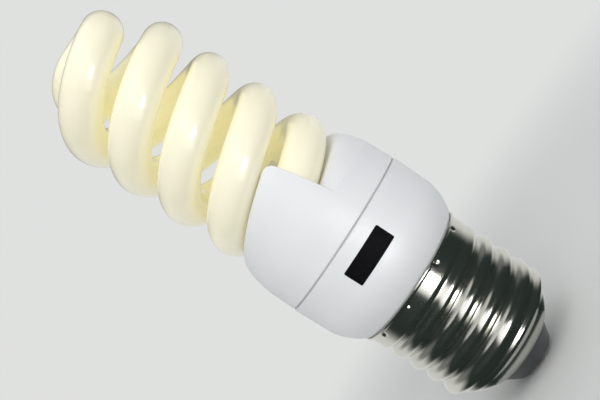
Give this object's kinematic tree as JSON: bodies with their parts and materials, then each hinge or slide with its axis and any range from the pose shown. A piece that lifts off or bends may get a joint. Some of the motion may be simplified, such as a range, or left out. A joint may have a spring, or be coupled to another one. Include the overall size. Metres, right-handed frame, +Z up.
{
  "type": "spiral energy saving bulb",
  "caption": "Compact fluorescent lamp: a double helix glass tube in a white housing with helical ramps, on an Edison screw cap.",
  "frame": {"origin": "middle of the centre contact's flat face", "axes": "+Z up the lamp's axis from the cap to the top of the coil; the picture looks along +Y, with +X to its right"},
  "size_m": [0.0318, 0.0318, 0.0994],
  "materials": {
    "tube_glass": "phosphor coated glass, gloss outside",
    "white_plastic": "satin white moulding",
    "plated_shell": "bright nickel plate",
    "cap_glass": "dark opaque glass",
    "contact_metal": "tinned brass",
    "cement": "white lamp cement",
    "lead_wire": "tinned wire",
    "board": "paper laminate",
    "capacitor_sleeve": "shrunk sleeve",
    "ferrite": "sintered ferrite",
    "bobbin": "moulded nylon",
    "copper": "enamelled copper wire",
    "black_resin": "moulded resin",
    "resistor_coat": "painted body",
    "film_coat": "dipped coat"
  },
  "bodies": {
    "root": {"spiral_tube": "tube_glass", "upper_cover": "white_plastic", "lower_housing": "white_plastic", "screw_shell": "plated_shell", "cap_insulator": "cap_glass", "centre_contact": "contact_metal", "tube_cement": "cement", "filament_leads": "lead_wire", "wrap_pins": "lead_wire", "ballast_board": "board", "bulk_capacitor": "capacitor_sleeve", "choke_core": "ferrite", "choke_bobbin": "bobbin", "choke_winding": "copper", "drive_toroid": "ferrite", "toroid_windings": "copper", "switching_transistors": "black_resin", "rectifier_diodes": "black_resin", "resistors": "resistor_coat", "start_diac": "resistor_coat", "resonant_capacitor": "film_coat", "blocking_capacitor": "film_coat", "fusible_resistor": "resistor_coat", "side_supply_lead": "lead_wire"}
  },
  "joints": []
}
